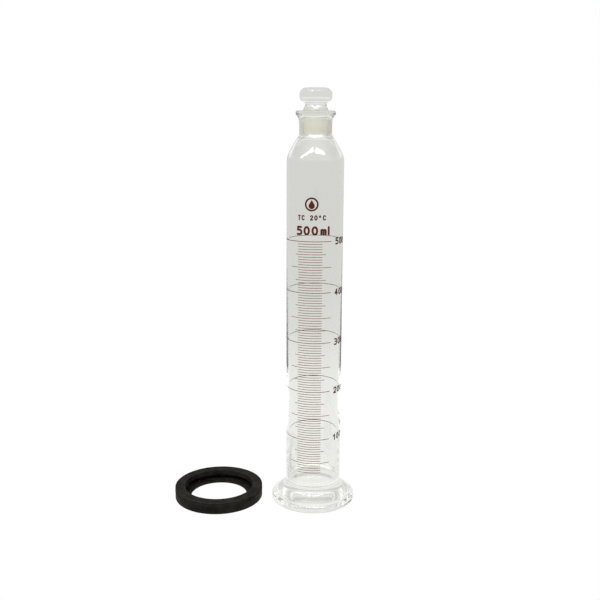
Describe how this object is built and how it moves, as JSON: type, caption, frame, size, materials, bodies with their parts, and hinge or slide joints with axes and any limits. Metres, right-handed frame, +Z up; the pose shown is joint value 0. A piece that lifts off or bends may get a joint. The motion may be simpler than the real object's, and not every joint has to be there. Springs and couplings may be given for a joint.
{
  "type": "stoppered measuring cylinder",
  "caption": "Graduated glass measuring cylinder with a ground-glass stopper, a round pressed foot and a loose rubber foot ring beside it.",
  "frame": {"origin": "middle of the foot's underside, on the surface that the cylinder stands on", "axes": "+Z up the tube, -Y the side that the scale faces, -X towards the loose foot ring"},
  "size_m": [0.1847, 0.09, 0.4103],
  "materials": {
    "clear_glass": "fire-polished clear borosilicate glass",
    "ground_glass": "clear glass with a finely ground socket",
    "stopper_glass": "pressed clear glass with a ground plug",
    "black_rubber": "moulded matt rubber",
    "brown_enamel": "fired enamel print"
  },
  "bodies": {
    "cylinder": {"tube": "clear_glass", "neck": "ground_glass", "foot": "clear_glass", "marks_100ml": "brown_enamel", "marks_50ml": "brown_enamel", "marks_25ml": "brown_enamel", "marks_5ml": "brown_enamel", "numeral_100": "brown_enamel", "numeral_200": "brown_enamel", "numeral_300": "brown_enamel", "numeral_400": "brown_enamel", "numeral_500": "brown_enamel", "capacity_legend": "brown_enamel", "calibration_legend": "brown_enamel", "drop_emblem": "brown_enamel"},
    "stopper": {"stopper": "stopper_glass"},
    "foot_ring": {"foot_ring": "black_rubber"}
  },
  "joints": [
    {"name": "stopper_lift", "type": "slide", "parent": "cylinder", "child": "stopper", "axis": [0, 0, 1], "range_m": [0, 0.06]},
    {"name": "ring_lift", "type": "slide", "parent": "cylinder", "child": "foot_ring", "axis": [0, 0, 1], "range_m": [0, 0.1]}
  ]
}
